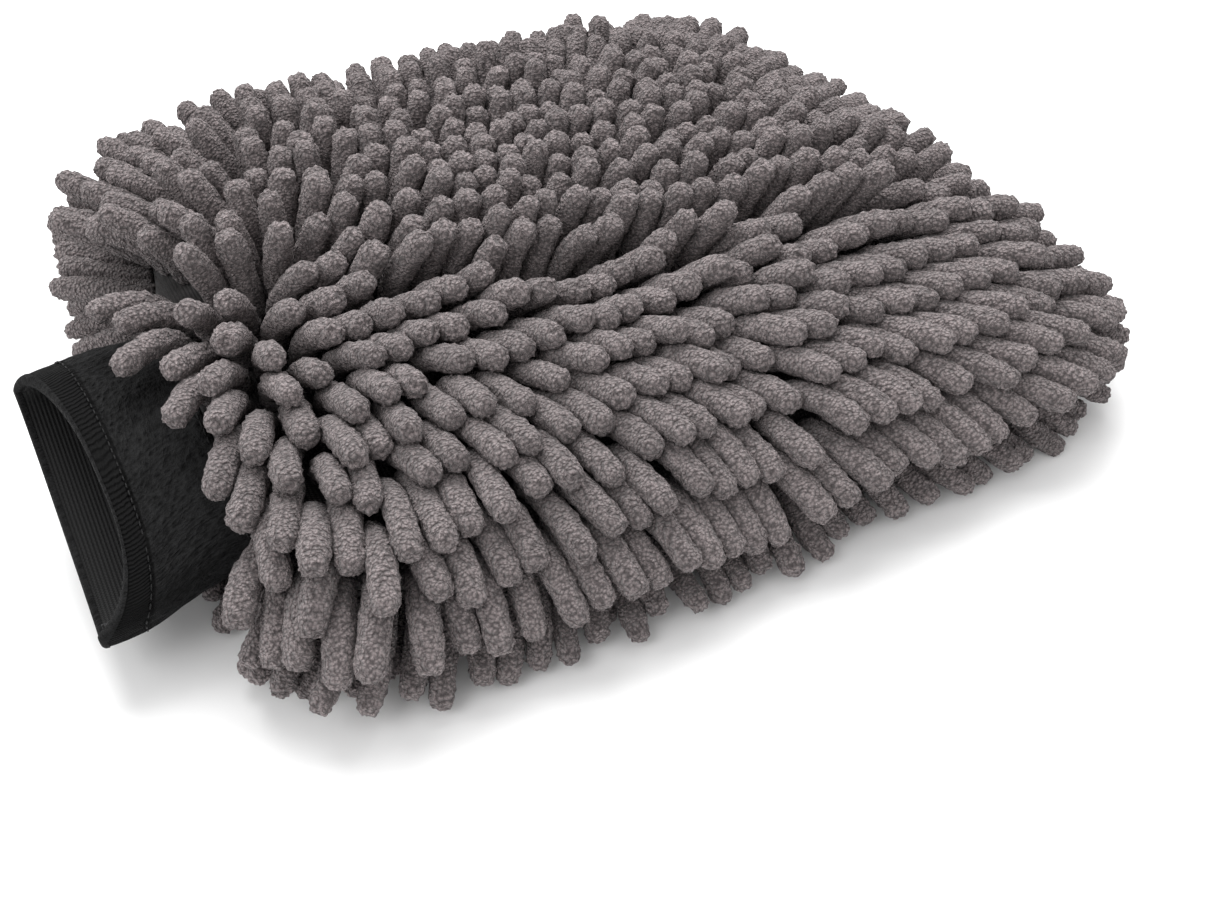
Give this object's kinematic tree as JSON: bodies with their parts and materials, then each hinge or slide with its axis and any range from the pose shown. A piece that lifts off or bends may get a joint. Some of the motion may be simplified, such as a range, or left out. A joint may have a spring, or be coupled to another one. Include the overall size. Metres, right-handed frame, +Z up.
{
  "type": "wash mitt",
  "caption": "Soft wash mitt with chenille noodle pile on both faces, a lined hand pocket and a stretchy knit cuff, lying on its lower face.",
  "frame": {"origin": "Middle of the footprint on the surface the mitt lies on.", "axes": "+X along the mitt from cuff to finger tips, +Y across it, +Z up."},
  "size_m": [0.276, 0.2142, 0.0648],
  "materials": {
    "chenille": "tufted microfibre",
    "base_knit": "fine knit",
    "lining": "smooth knit",
    "cuff_knit": "crinkled rib knit",
    "elastic": "ribbed elastic",
    "tape": "woven tape",
    "thread": "sewing thread"
  },
  "bodies": {
    "root": {"bottom_base_knit": "base_knit", "bottom_noodle_row_01": "chenille", "bottom_noodle_row_02": "chenille", "bottom_noodle_row_03": "chenille", "bottom_noodle_row_04": "chenille", "bottom_noodle_row_05": "chenille", "bottom_noodle_row_06": "chenille", "bottom_noodle_row_07": "chenille", "bottom_noodle_row_08": "chenille", "bottom_noodle_row_09": "chenille", "bottom_noodle_row_10": "chenille", "bottom_noodle_row_11": "chenille", "bottom_noodle_row_12": "chenille", "bottom_noodle_row_13": "chenille", "bottom_noodle_row_14": "chenille", "bottom_noodle_row_15": "chenille", "bottom_noodle_row_16": "chenille", "bottom_noodle_row_17": "chenille", "bottom_noodle_row_18": "chenille", "bottom_noodle_row_19": "chenille", "bottom_noodle_row_20": "chenille", "bottom_noodle_row_21": "chenille", "bottom_pocket_lining": "lining", "cuff_hem_thread": "thread", "cuff_inner_elastic": "elastic", "cuff_join_tape": "tape", "cuff_join_thread": "thread", "cuff_mouth_hem": "cuff_knit", "cuff_outer_ply": "cuff_knit", "cuff_side_seam": "tape", "edge_seam_tape": "tape", "edge_seam_thread": "thread", "top_base_knit": "base_knit", "top_noodle_row_01": "chenille", "top_noodle_row_02": "chenille", "top_noodle_row_03": "chenille", "top_noodle_row_04": "chenille", "top_noodle_row_05": "chenille", "top_noodle_row_06": "chenille", "top_noodle_row_07": "chenille", "top_noodle_row_08": "chenille", "top_noodle_row_09": "chenille", "top_noodle_row_10": "chenille", "top_noodle_row_11": "chenille", "top_noodle_row_12": "chenille", "top_noodle_row_13": "chenille", "top_noodle_row_14": "chenille", "top_noodle_row_15": "chenille", "top_noodle_row_16": "chenille", "top_noodle_row_17": "chenille", "top_noodle_row_18": "chenille", "top_noodle_row_19": "chenille", "top_noodle_row_20": "chenille", "top_noodle_row_21": "chenille", "top_pocket_lining": "lining"}
  },
  "joints": []
}
